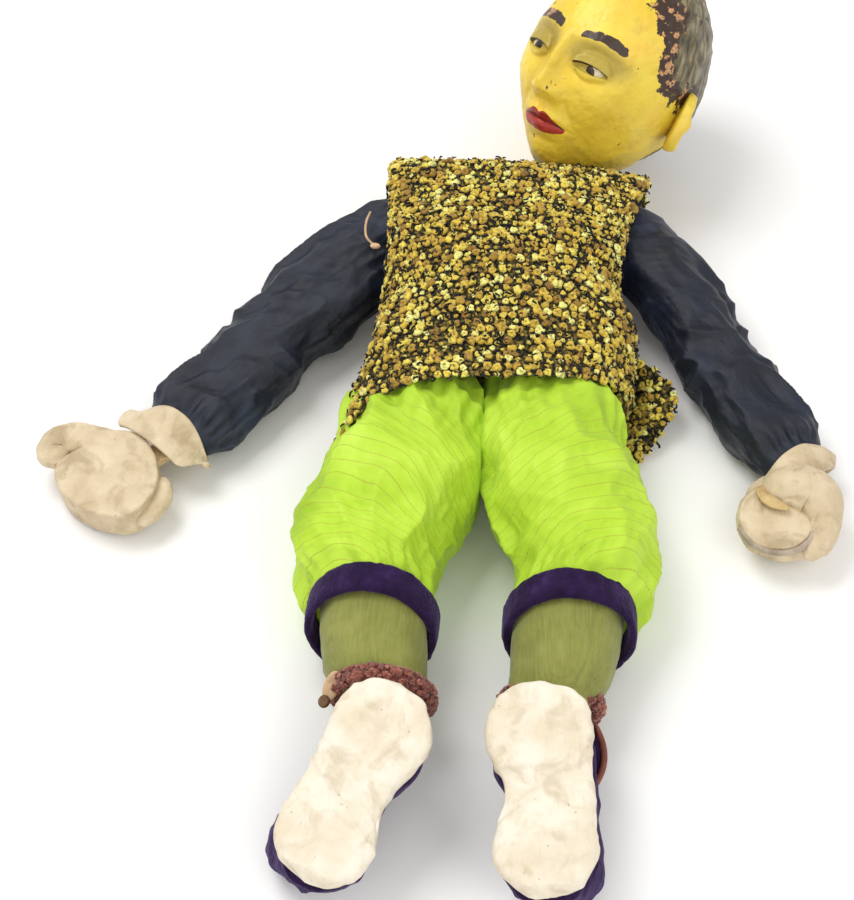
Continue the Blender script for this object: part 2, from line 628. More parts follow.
def build_head():
    turn = np.linspace(-1, 1, 440, endpoint=False)
    angle = FRONT + math.pi * (0.52 * turn + 0.48 * turn**3)  # closest together on the face
    tilt = np.linspace(0.004, math.pi - 0.004, 330)
    sx = np.sin(tilt)[:, None] * np.cos(angle)[None]
    sy = np.sin(tilt)[:, None] * np.sin(angle)[None]
    sz = np.cos(tilt)[:, None] * np.ones_like(angle)[None]
    low = smooth(-sz)
    x = HEAD_HALF[0] * sx * (1 - 0.26 * low)
    y = HEAD_HALF[1] * sy * (1 - np.where(sy < 0, 0.10, 0.45) * low)
    z = HEAD_HALF[2] * sz
    out = face_relief(x, z)
    facing = smooth(-sy / 0.35)
    y = y - out * facing
    points = np.stack([x, y, z], -1)
    n = normals(points)
    line = hairline(np.abs(x), y)
    ragged = noise(points, 0.012, 5, 3) * 0.0045 + noise(points, 0.003, 6, 2) * 0.0010
    hair = smooth((z - line + ragged + 0.002) / 0.004)
    tousle = np.stack([x + 0.3 * z, y * 0.35, z * 0.35], -1)
    thick = hair * (0.0016 + 0.0007 * noise(tousle, 0.0030, 8, 2) + 0.0006 * noise(points, 0.011, 9))
    worn = 0.0007 * noise(points, 0.016, 2, 3) + 0.00022 * noise(points, 0.0035, 3, 2)
    points = points + n * (thick + worn * (1 - 0.6 * hair))[..., None]
    ax, dx = np.abs(x), np.abs(x) - EYE_AT[0]
    dz = z - EYE_AT[1]
    upper, _ = lid_lines(dx)
    lash = hill(dz, upper - 0.0004, 0.0009) * smooth((0.0155 - np.abs(dx)) / 0.002) * facing
    brow_z = 0.0215 + 0.0040 * np.sin((ax - 0.010) / 0.036 * math.pi)
    brow = 1.15 * hill(z, brow_z, 0.0046) * smooth((ax - 0.008) / 0.004)
    brow = brow * smooth((0.049 - ax) / 0.006) * facing
    socket = smooth(1.9 * hill(ax, 0.0285, 0.0200) * hill(z, 0.0080, 0.0115)) * facing
    reach = np.clip(1 - (ax / 0.0225) ** 2, 0, 1)
    top, bottom = MOUTH + (0.0064 + lip_bow(ax)) * reach, MOUTH - 0.0098 * np.sqrt(reach)
    lip = (smooth((top - z) / 0.0014) * smooth((z - bottom) / 0.0014) * smooth(reach / 0.08) * facing)
    seam = hill(z, MOUTH + 0.0008 - 1.5 * ax**2, 0.0009) * smooth(reach / 0.15) * facing
    edge = hill(z - line, 0.0010, 0.0105) * smooth((0.036 - y) / 0.02) * 1.05
    pad = lambda field: np.append(field.ravel(), (field[0, 0], field[-1, 0]))
    head = make("carved_head", *capped(points), FACE, "yellow_paint", FRAMES["head"], hair=pad(hair),
        edge=pad(edge), brow=pad(brow), lip=pad(lip), line=pad(np.maximum(lash, 0.8 * seam)),
        shaded=pad(0.72 * socket))
    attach(head, "head")
    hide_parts("head")
    for side, s in SIGN.items():
        build_eye(side, s)
        build_ear(side, s)


def build_eye(side, s):
    angle = circle(56)
    tilt = np.linspace(0.01, math.pi - 0.01, 40)
    ball = np.stack([np.sin(tilt)[:, None] * np.cos(angle), -np.cos(tilt)[:, None] * np.ones_like(angle),
        np.sin(tilt)[:, None] * np.sin(angle)], -1)
    gaze = np.array(Vector((s * -0.02, -1, -0.30)).normalized())
    iris = np.degrees(np.arccos(np.clip(ball @ gaze, -1, 1))) / 45
    place = FRAMES["head"] @ Matrix.Translation((s * (EYE_AT[0] - 0.0006), -0.0696, EYE_AT[1] - 0.0022))
    eye = make(side + "_eye", *capped(ball[::-1] * EYE_R), EYE, "yellow_paint", place,
        iris=np.append(iris[::-1].ravel(), (iris[-1, 0], iris[0, 0])))
    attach(eye, "head")


def build_ear(side, s):
    """A flat carved ear: a rim round a hollow, a small flap in front and a lobe below."""
    angle = circle(96)
    reach = np.linspace(0, 1, 34)
    a, k = np.meshgrid(angle, np.concatenate([reach, reach[::-1]]))
    outer = np.arange(a.shape[0])[:, None] < len(reach)
    across = 0.0170 * (1 + 0.22 * np.sin(a) - 0.10 * np.cos(a)) * np.cos(a)
    up = 0.0265 * np.sin(a) - 0.0015 + 0.0030 * hill(a, 1.1, 0.35)
    relief = (0.0052 * smooth((k - 0.55) / 0.22) * smooth((1.06 - k) / 0.16)
              + forms(k * np.cos(a), k * np.sin(a), EAR_FORMS))
    edge = 0.0022 * np.sqrt(np.clip(1 - k**4, 0, 1))
    depth = np.where(outer, edge + relief, -edge - 0.001)
    points = np.stack([s * depth, k * across, k * up], -1)
    points = points + noise(points, 0.006, 4)[..., None] * 0.0003
    verts = points.reshape(-1, 3)
    faces = grid_faces(*a.shape, flip=s > 0)
    place = (FRAMES["head"] @ Matrix.Translation((s * 0.0715, 0.0110, -0.0090))
             @ Matrix.Rotation(s * 0.62, 4, "Z") @ Matrix.Rotation(-0.20, 4, "X"))
    zero = np.zeros(len(verts))
    ear = make(side + "_ear", verts, faces, FACE, "yellow_paint", place, hair=zero, edge=zero, brow=zero,
        lip=zero, line=zero, shaded=(0.75 * hill(k, 0.25, 0.35) * outer).ravel())
    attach(ear, "head")


# ---- vest ------------------------------------------------------------------
VEST = (
    # height, left edge x, right edge x, front edge depth, back edge depth, crown, lift, skew
    (0.238, 0.100, 0.115, 0.067, 0.016, 0.076, 0.000, 0.035),
    (0.226, 0.100, 0.109, 0.073, 0.012, 0.087, 0.000, 0.045),
    (0.200, 0.097, 0.101, 0.076, 0.009, 0.095, 0.000, 0.065),
    (0.165, 0.091, 0.095, 0.076, 0.009, 0.104, 0.000, 0.085),
    (0.128, 0.088, 0.092, 0.072, 0.011, 0.111, 0.000, 0.100),
    (0.108, 0.088, 0.093, 0.052, 0.044, 0.114, 0.000, 0.110),
    (0.074, 0.089, 0.106, 0.047, 0.038, 0.115, 0.002, 0.114),
    (0.038, 0.094, 0.146, 0.042, 0.027, 0.114, 0.008, 0.114),
    (0.008, 0.101, 0.144, 0.036, 0.017, 0.112, 0.014, 0.114),
    (-0.016, 0.106, 0.126, 0.030, 0.007, 0.109, 0.024, 0.114),
)
PITCH = 0.0063


def vest_panel(z, t, back):
    """The cloth's middle surface at height z and side-to-side angle t, 0 to pi."""
    left, right, edge_front, edge_back, crown, lift, skew = along(z, VEST)
    side = -np.cos(t)
    if back:
        x = side * np.where(side > 0, right, left)
        y = -(0.002 + (edge_back - 0.002) * smooth((np.abs(side) - 0.72) / 0.28))
        lift = 0
    else:
        x = side * np.where(side > 0, np.minimum(right, 0.110), left)
        y = -(edge_front + (crown - edge_front) * np.sin(t) ** 0.75)
        lift = np.where(side < 0, -1.25 * lift * side**2, lift)
    spots = np.stack([x, y, z + lift * side**2 + skew * x], -1)
    ripple = 0.0022 * noise(spots, (0.05, 1.0, 0.035), 21) * (0.25 if back else 1.0)
    spots[..., 1] += ripple * smooth(np.sin(t) / 0.3)
    if not back:
        spots[..., 1] -= 0.0035 * smooth((0.002 - z) / 0.008) * smooth(np.sin(t) / 0.5)
    return spots


def shoulder_strip(z, t, s):
    """The strip over one shoulder, from the front's top edge (z=0) round to the back's (z=1)."""
    start = np.where(s > 0, math.pi - t, t)
    front = vest_panel(np.full_like(t, 0.238), start, False)
    back = vest_panel(np.full_like(t, 0.238), start, True)
    share = z[..., None]
    spots = front + (back - front) * share
    spots[..., 2] += 0.011 * np.sin(math.pi * z)
    return spots


def knot_templates():
    """Small lumps and curls of yarn about one unit across, standing on the XY plane."""
    made = []
    for kind in range(9):
        if kind < 5:
            turns = rng.uniform(0.8, 1.35)
            t = np.linspace(0, 2 * math.pi * turns, 11)
            r = 0.26 + 0.06 * np.sin(3 * t + kind)
            height = 0.16 + 0.14 * t / t[-1] + 0.05 * np.sin(2 * t)
            path = np.stack([r * np.cos(t), r * np.sin(t) * rng.uniform(0.75, 1.1), height], -1)
            fat = 0.19 + 0.035 * np.sin(4.3 * t + kind)
            fat[0] *= 0.5
            fat[-1] *= 0.5
            rings = swept(path, fat, 7, up=(0, 0, 1))
        else:
            t = np.linspace(0.15, math.pi - 0.15, 8)
            turn = circle(10)
            wide = np.sin(t)[:, None]
            lump = 1 + 0.26 * np.sin(3 * turn + kind)[None] * np.sin(2 * t + kind)[:, None]
            lump = lump + 0.16 * np.sin(5 * turn + 2 * kind)[None] * wide
            rings = np.stack([0.50 * wide * np.cos(turn) * lump, 0.40 * wide * np.sin(turn) * lump,
                0.20 - 0.30 * np.cos(t)[:, None] * lump], -1)[::-1]
        made.append(capped(rings))
    return made


def strand_templates():
    made = []
    for kind in range(5):
        t = np.linspace(-0.5, 0.5, 7)
        path = np.stack([t, 0.24 * np.sin(5 * t + kind), 0.14 * np.cos(4 * t + kind)], -1)
        rings = swept(path, 0.17 * (1 - (2 * t) ** 4 * 0.5), 6, up=(0, 0, 1))
        made.append(capped(rings))
    return made


def scatter(name, templates, spots, upward, size, tint, heading, material, slot, place):
    """One mesh of many small turned copies of the templates."""
    verts, faces, tints, count = [], [], [], 0
    for i, spot_ in enumerate(spots):
        shape, sides = templates[i % len(templates)]
        up = upward[i]
        ahead = np.cross(up, np.cross(heading[i], up))
        ahead /= np.linalg.norm(ahead) + 1e-9
        basis = np.stack([ahead, np.cross(up, ahead), up])
        verts.append(spot_ + (shape * size[i]) @ basis)
        tints.append(np.full(len(shape), tint[i]) + 0.10 * shape[:, 2])
        faces.extend([[v + count for v in face] for face in sides])
        count += len(shape)
    return make(name, np.concatenate(verts), faces, material, slot, place,
        tint=np.clip(np.concatenate(tints), 0, 1))


def even_rows(surface, z_low, z_high, t_low, t_high, pitch):
    """Places about one pitch apart on a surface, with their outward normals."""
    t_fine = np.linspace(t_low, t_high, 400)
    middle = surface(np.full_like(t_fine, (z_low + z_high) / 2), t_fine)
    z_fine = np.linspace(z_low, z_high, 200)
    down = surface(z_fine, np.full_like(z_fine, (t_low + t_high) / 2))
    rows = max(2, int(steps_along(down).sum() / pitch) + 1)
    run = np.concatenate([[0], np.cumsum(steps_along(middle))])
    cols = max(2, int(run[-1] / pitch) + 1)
    z = np.linspace(z_low, z_high, rows)[:, None] + np.zeros(cols)[None]
    share = np.linspace(0, run[-1], cols)[None] + np.zeros(rows)[:, None]
    share = share + (np.arange(rows)[:, None] % 2 - 0.5) * 0.30 * pitch
    step = (z_high - z_low) / (rows - 1)
    z = z + rng.uniform(-0.24, 0.24, z.shape) * step
    t = np.interp(share + rng.uniform(-0.22, 0.22, z.shape) * pitch, run, t_fine)
    z = np.clip(z, min(z_low, z_high), max(z_low, z_high))
    here = surface(z, t)
    nudge_z = surface(z + step * 0.2, t) - here
    nudge_t = surface(z, np.clip(t + 0.01, t_low, t_high + 0.02)) - here
    n = np.cross(nudge_z, nudge_t).reshape(-1, 3)
    n /= np.linalg.norm(n, axis=1, keepdims=True) + 1e-12
    return here.reshape(-1, 3), n


def tweed_cover(name, spots, upward, place, body):
    """Knots and dark slubs over a panel of the vest."""
    count = len(spots)
    patch = noise(spots, 0.055, 31, 2)
    tint = np.clip(0.54 + 0.16 * patch + rng.normal(0, 0.30, count), 0, 1)
    heading = rng.normal(0, 1, (count, 3))
    size = np.where(rng.random(count) < 0.35, rng.uniform(0.0036, 0.0058, count),
        rng.uniform(0.0060, 0.0094, count))
    jitter = upward * rng.uniform(-0.0004, 0.0016, count)[:, None]
    knots = scatter(name + "_knots", knot_templates(), spots + jitter, upward, size, tint, heading, KNOT,
        "tweed", place)
    stray = lambda: rng.uniform(-1, 1, (count, 3)) * 0.0033
    between = spots + stray() + upward * 0.0014
    other = spots + stray() + upward * 0.0024
    lay = np.concatenate([heading[::-1], rng.normal(0, 1, (count, 3))])
    slubs = scatter(name + "_slubs", strand_templates(), np.concatenate([between, other]),
        np.concatenate([upward, upward]), rng.uniform(0.0026, 0.0056, 2 * count),
        rng.uniform(0, 1.0, 2 * count) ** 3, lay, SLUB, "tweed", place)
    for piece in (knots, slubs):
        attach(piece, body)
    return [knots, slubs]


def build_yoke():
    """The undershirt's yoke, closing the vest's neck opening round the foot of the neck."""
    share, angle = np.linspace(0, 1, 40), circle(200)
    k, a = np.meshgrid(share, angle, indexing="ij")
    outer = np.stack([0.003 + 0.095 * bent(np.cos(a), 0.6), -0.043 + 0.036 * bent(np.sin(a), 0.6)], -1)
    inner = np.stack([0.010 + 0.021 * np.cos(a), -0.041 + 0.021 * np.sin(a)], -1)
    flat = outer + (inner - outer) * k[..., None]
    pleat = 0.0016 * np.sin(16 * a + 2 * np.sin(3 * a)) * np.sin(math.pi * k)
    height = 0.2235 + 0.08 * flat[..., 0] + 0.006 * smooth(k) + pleat
    points = np.stack([flat[..., 0], flat[..., 1], height], -1)
    points[..., 2] += 0.0012 * noise(points, 0.018, 151, 2)
    yoke = make("undershirt_yoke", points, grid_faces(*k.shape), SATIN, "navy_satin", FRAMES["torso"])
    thicken(yoke, 0.0010)
    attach(yoke, "torso")


def build_vest():
    place = FRAMES["torso"]
    for label, back in (("vest_front", False), ("vest_back", True)):
        z, t = np.meshgrid(np.linspace(0.238, -0.016, 110), np.linspace(0, math.pi, 90), indexing="ij")
        points = vest_panel(z, t, back)
        faces = grid_faces(*z.shape, round_cols=False, flip=back)
        cloth = make(label + "_cloth", points, faces, BACKING, "tweed", place)
        thicken(cloth, 0.0024, 0.0)
        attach(cloth, "torso")
        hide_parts(label)
        surface = lambda zz, tt, back=back: vest_panel(zz, tt, back)
        spots, upward = even_rows(surface, 0.2385, -0.0165, 0.012, math.pi - 0.012, PITCH)
        upward = upward * (-1 if back else 1)
        upward[:, 1] = np.abs(upward[:, 1]) * (1 if back else -1)
        spots = spots + upward * 0.0012
        covers = tweed_cover(label, spots, upward, place, "torso")
        if back:
            inside = spots - upward * 0.0026
            edge = np.abs(spots[:, 0]) > 0.098
            covers += tweed_cover(label + "_lining", inside[edge], -upward[edge], place, "torso")
            lift_pieces(covers)
    for side, s in SIGN.items():
        z, t = np.meshgrid(np.linspace(0, 1, 26), np.linspace(0.04, 1.10, 30), indexing="ij")
        surface = lambda zz, tt, s=s: shoulder_strip(zz, tt, s)
        faces = grid_faces(*z.shape, round_cols=False, flip=s < 0)
        strip = make(side + "_vest_shoulder", surface(z, t), faces, BACKING, "tweed", place)
        thicken(strip, 0.0024, 0.0)
        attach(strip, "torso")
        spots, upward = even_rows(surface, 0.0, 1.0, 0.04, 1.10, PITCH)
        upward[:, 2] = np.abs(upward[:, 2])
        covers = tweed_cover(side + "_vest_shoulder", spots, upward, place, "torso")
        lift_pieces(covers)
    z, t = np.meshgrid(np.linspace(0.178, 0.030, 60), circle(80), indexing="ij")
    sizes = along(z[:, 0], [(0.180, 0.046, 0.040, 0.022), (0.172, 0.046, 0.050, 0.030),
        (0.150, 0.050, 0.058, 0.038), (0.105, 0.054, 0.070, 0.044), (0.060, 0.054, 0.078, 0.046),
        (0.045, 0.053, 0.076, 0.046), (0.034, 0.052, 0.066, 0.040), (0.026, 0.052, 0.045, 0.028)])
    points = ring_points(z[:, 0], 0 * z[:, 0], -sizes[0], sizes[1], sizes[2], t[0])
    points = points + normals(points) * (0.0012 * noise(points, 0.02, 3, 2))[..., None]
    trunk = closed_piece("trunk_stuffing", points, CALICO, "calico", place, "torso", lift=False)
    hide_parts("trunk_padding")


def lift_pieces(pieces):
    """Raises what would sink into the floor; the vertices are in the frame of the world."""
    for piece in pieces:
        for vert in piece.data.vertices:
            vert.co.z = max(vert.co.z, FLOOR)


# ---- arms ------------------------------------------------------------------
def build_sleeve(side, s):
    """One tube of satin from the shoulder to the cuff, bagged and creased over a thin arm."""
    out, more = (0.006, 0.0005) if side == "left" else (-0.0065, 0.0065)
    wide = 1.04
    short = 0.004 if side == "left" else 0.0
    z = np.linspace(0.034, short - UPPER_ARM - 0.1155, 300)
    angle = circle(200)
    cx, cy, a, b = along(z, [(0.034, 0, 0.001, 0.020, 0.018), (0.021, 0, 0.001, 0.0275, 0.0225),
        (0.000, 0.2, 0.001, 0.0315, 0.0240), (-0.020, 0.6, 0.001, 0.0330, 0.0255),
        (-0.054, 0.9, 0.003, 0.0355, 0.0280), (-0.092, 1, 0.006, 0.0335, 0.0285),
        (-0.118, 1, 0.0068, 0.0305, 0.0268), (-0.135, 1, 0.0075, 0.0305, 0.0268),
        (-0.173, 1, 0.0065, 0.0325, 0.0270), (-0.203 + short, 1, 0.005, 0.0325, 0.0270),
        (-0.221 + short, 1, 0.0035, 0.0310, 0.0252), (-0.2325 + short, 0.9, 0.003, 0.0275, 0.0200),
        (-0.2425 + short, 0.8, 0.002, 0.0225, 0.0170)])
    cx, a = cx * out, a + more * smooth((0.03 - z) / 0.05)
    points = ring_points(z, cx, cy, a * wide, b, angle, 2.1)
    n = normals(points)
    spin = 17 if side == "left" else 3
    x, y, up = np.moveaxis(points, -1, 0)
    lean = np.stack([x + 0.22 * s * up, y + 0.10 * up, up * 0.34], -1)
    cross = np.stack([x * 0.6, y * 0.6, up + 0.5 * s * x], -1)
    zz = z[:, None]
    elbow = hill(zz, -UPPER_ARM, 0.030)
    hem = smooth((-zz - UPPER_ARM - 0.075) / 0.03)
    fold = creases(lean, 0.021, spin, 0.0056, 0.55)
    fold = fold + creases(cross, 0.020, spin + 1, 0.0030, 0.5, 2.1) * (0.5 + elbow)
    fold = fold + creases(lean, 0.0100, spin + 2, 0.0011)
    fold = fold + creases(cross, 0.0070, spin + 3, 0.0004)
    gather = np.sin(angle * 17 + 2.2 * np.sin(angle * 3 + spin))[None] * 0.0013 * hem
    closing = smooth((zz - short + 0.2385) / 0.012)
    points = points + n * (fold * (1 - 0.35 * hem) * closing + gather * closing)[..., None]
    points = above_floor(points, FRAMES[side + "_upper_arm"])
    cloth = make(side + "_sleeve", points, grid_faces(*points.shape[:2]), SATIN, "navy_satin",
        FRAMES[side + "_upper_arm"])
    thicken(cloth, 0.0010)
    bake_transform(cloth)
    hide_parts(side + "_upper_sleeve", side + "_lower_sleeve")


def build_cuff(side, s):
    """A stiff half-moon cuff standing open round the wrist, with a corner at either side."""
    angle = circle(120)
    share = np.linspace(0, 1, 26)
    k, a = np.meshgrid(share, angle, indexing="ij")
    corner = np.abs(np.cos(a)) ** 9
    wide, shift = (0.0370, -0.012) if side == "right" else (0.0330, -0.007)
    drop = 0.0220 + 0.0080 * hill(a, 4.71, 0.95)
    if side == "right":  # deep all across its front, not only in the middle
        drop = 0.0200 + 0.0140 * smooth(-np.sin(a) / 0.60)
    top = (0.0105 + 0.0020 * np.cos(a)) * np.abs(np.cos(a)) ** 2.5 * (1 - k)
    flare = smooth(k / 0.55) if side == "right" else k**0.8
    start_x, aside = (0.0305, -0.0055) if side == "right" else (0.0285, 0.0040)
    radius_x = start_x + (wide - start_x) * flare + 0.0035 * corner * flare + 0.5 * top
    radius_y = 0.0215 - 0.0035 * k
    start = 0.018 - FOREARM + (0.0015 if side == "right" else 0.0105)
    x = aside + (shift - aside) * k + radius_x * np.cos(a)
    y = 0.002 - 0.002 * k + radius_y * bent(np.sin(a), 1.4)
    points = np.stack([x, y, start - drop * k - top], -1)
    wobble = 0.0010 * noise(points, 0.018, 41 if s > 0 else 43, 2)
    points = points + normals(points) * wobble[..., None]
    place = Matrix.Translation((0.004 if s > 0 else 0, -0.007 if s > 0 else 0, 0)) @ FRAMES[side + "_forearm"]
    points = above_floor(points, place)
    cuff = make(side + "_cuff_band", points, grid_faces(*k.shape), KID, "cream_leather", place)
    thicken(cuff, 0.0026)
    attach(cuff, side + "_forearm")
    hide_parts(side + "_cuff")


def pillow(outline, centre, half, seed, sharp=3.6, rows=90, wrinkle=0.0008, grow=1.0):
    """A flat stuffed shape: an outline in X and Z, plates either side and a wall between.
    Rows run from the front's middle over the edge to the back's."""
    angle = circle(200)
    first, last = outline[0], outline[-1]
    table = [(last[0] - 2 * math.pi, last[1]), *outline, (first[0] + 2 * math.pi, first[1])]
    radius = along(angle, table)[0] * grow
    t = np.linspace(0.012, math.pi - 0.012, rows)
    k = np.sin(t) ** (2 / sharp)
    y = -bent(np.cos(t), 2 / sharp) * half
    x = centre[0] + k[:, None] * radius * np.cos(angle)
    z = centre[2] + k[:, None] * radius * np.sin(angle)
    points = np.stack([x, centre[1] + y[:, None] + 0 * x, z], -1)
    n = normals(points)
    n[(n * np.array([0, -1, 0])).sum(-1).mean(1) * np.cos(t) < -0.2] *= -1
    seam = 0.0016 * (hill(np.abs(y), half * 0.84, half * 0.09))[:, None]
    crease = creases(points, (0.020, 0.02, 0.012), seed, wrinkle, 0.4, 1.8)
    crease = crease + 0.4 * wrinkle * noise(points, 0.006, seed + 1, 2)
    dent = 0.0016 * noise(points, 0.026, seed + 2)
    pucker = 0.00035 * np.sin(angle * 60) * hill(np.abs(y), half * 0.62, half * 0.2)[:, None]
    return points + n * (seam + crease + dent + pucker)[..., None]


def closed_piece(name, points, material, slot, place, body, lift=True):
    if lift:
        points = above_floor(points, place)
    piece = make(name, *capped(points), material, slot, place)
    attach(piece, body)
    return piece


PALM = {
    # angle round the palm (0 is +X, 90 is towards the wrist) and reach
    "right": [(0, 0.0395), (22, 0.0380), (44, 0.0375), (68, 0.0370), (92, 0.0390), (118, 0.0440),
              (142, 0.0440), (166, 0.0420), (190, 0.0400), (217, 0.0490), (243, 0.0440),
              (280, 0.0370), (312, 0.0370), (346, 0.0410)],
    "left": [(0, 0.036), (35, 0.044), (60, 0.046), (84, 0.044), (108, 0.040), (130, 0.038),
             (158, 0.036), (184, 0.036), (221, 0.036), (254, 0.0365), (301, 0.036), (335, 0.035)],
}


def build_hand(side, s):
    """A folded mitt: a flat padded palm with a sewn edge, and a thumb lobe curled on it."""
    place = FRAMES[side + "_hand"]
    body = side + "_hand"
    outline = [(math.radians(t), r) for t, r in PALM[side]]
    if side == "right":
        palm = pillow(outline, (0.001, 0.003, -0.054), 0.0160, 51, 7.5, wrinkle=0.0006, grow=0.95)
        path = np.array([(-0.008, -0.0035, -0.032), (-0.032, -0.0045, -0.044), (-0.049, -0.0050, -0.057),
            (-0.0545, -0.0055, -0.071), (-0.0480, -0.0065, -0.0780), (-0.0400, -0.0075, -0.0690)])
        fat = np.array([0.0120, 0.0145, 0.0140, 0.0135, 0.0130, 0.0105])
        small = np.array([(0.020, 0.000, -0.022), (0.033, 0.001, -0.034), (0.039, 0.002, -0.047),
            (0.041, 0.003, -0.060)])
        small_fat = np.array([0.0070, 0.0100, 0.0095, 0.0060])
    else:
        palm = pillow(outline, (-0.017, 0.006, -0.033), 0.0125, 61, 3.4, grow=0.96)
        path = np.array([(-0.037, -0.0050, -0.014), (-0.018, -0.0095, -0.004), (0.002, -0.0105, -0.007),
            (0.0100, -0.0085, -0.025), (0.0080, -0.0050, -0.043), (-0.0020, -0.0020, -0.060)])
        fat = np.array([0.0110, 0.0190, 0.0200, 0.0140, 0.0110, 0.0080])
        small = np.array([(-0.043, -0.009, -0.010), (-0.0430, -0.0125, -0.019), (-0.037, -0.0150, -0.027),
            (-0.023, -0.0155, -0.0320)])
        small_fat = np.array([0.0025, 0.0046, 0.0050, 0.0030])
    away = lambda x, y: Matrix.Translation((x, y, 0)) @ place if s > 0 else place
    made = [closed_piece(side + "_palm", palm, KID, "cream_leather", away(0.006, 0.001), body)]
    for label, line, width, flat in (("thumb", path, fat, 0.72), ("fold", small, small_fat, 0.62)):
        steps = np.linspace(0, 1, len(line))
        fine = np.linspace(0, 1, 70)
        line_fine = along(fine, [(t, *p) for t, p in zip(steps, line)]).T
        width_fine = along(fine, [(t, w) for t, w in zip(steps, width)])[0]
        tips = np.sqrt(np.clip(1 - ((np.clip(np.abs(fine - 0.5) * 2, 0.72, 1) - 0.72) / 0.28) ** 2, 0.02,
            1))
        rings = swept(line_fine, width_fine * tips, 48, flat)
        n = rings - line_fine[:, None]
        n /= np.linalg.norm(n, axis=-1, keepdims=True)
        crease = creases(rings, (0.009, 0.012, 0.009), 71, 0.0007, 0.4)
        crease = crease + 0.0004 * noise(rings, 0.004, 73, 2) + 0.0009 * hill(circle(48), 0.5, 0.16)
        rings = rings + n * crease[..., None]
        skin = BUFF if (side, label) == ("left", "fold") else KID
        here = away(0.006, -0.011) if label == "thumb" else away(0.011, -0.005)
        made.append(closed_piece(side + "_" + label, rings, skin, "cream_leather", here, body))
    if side == "left":
        place = away(0.010, 0.001)
        ring = [(t, 0.0300 + 0.0012 * math.sin(2 * t)) for t in np.arange(0, 6.2, 0.7)]
        disc = pillow(ring, (-0.0300, -0.0035, -0.0425), 0.0075, 66, 5.0, wrinkle=0.0005)
        made.append(closed_piece("left_palm_face", disc, KID, "cream_leather", place, body))
        t = np.linspace(math.radians(205), math.radians(440), 90)
        edge = np.stack([-0.0300 + 0.0300 * np.cos(t), 0.0 * t - 0.0080, -0.0425 + 0.0300 * np.sin(t)],
            -1)
        rings = swept(edge, 0.0022 + 0.0016 * hill(t, 6.8, 1.1), 14, 1.2)
        rings = rings + (0.0005 * noise(rings, 0.004, 67, 2))[..., None]
        made.append(closed_piece("left_palm_binding", rings, BINDING, "cream_leather", place, body))
    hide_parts(side + "_hand")


# ---- legs ------------------------------------------------------------------
def midline(y):
    """X halfway between the two thighs at that world Y."""
    x = 0.0
    for side in SIGN:
        hip, knee = spot(side + "_hip"), spot(side + "_knee")
        x = x + 0.5 * (hip.x + (knee.x - hip.x) * (y - hip.y) / (knee.y - hip.y))
    return x


BAND_TILT = 0.24  # the knee bands sit further up in front


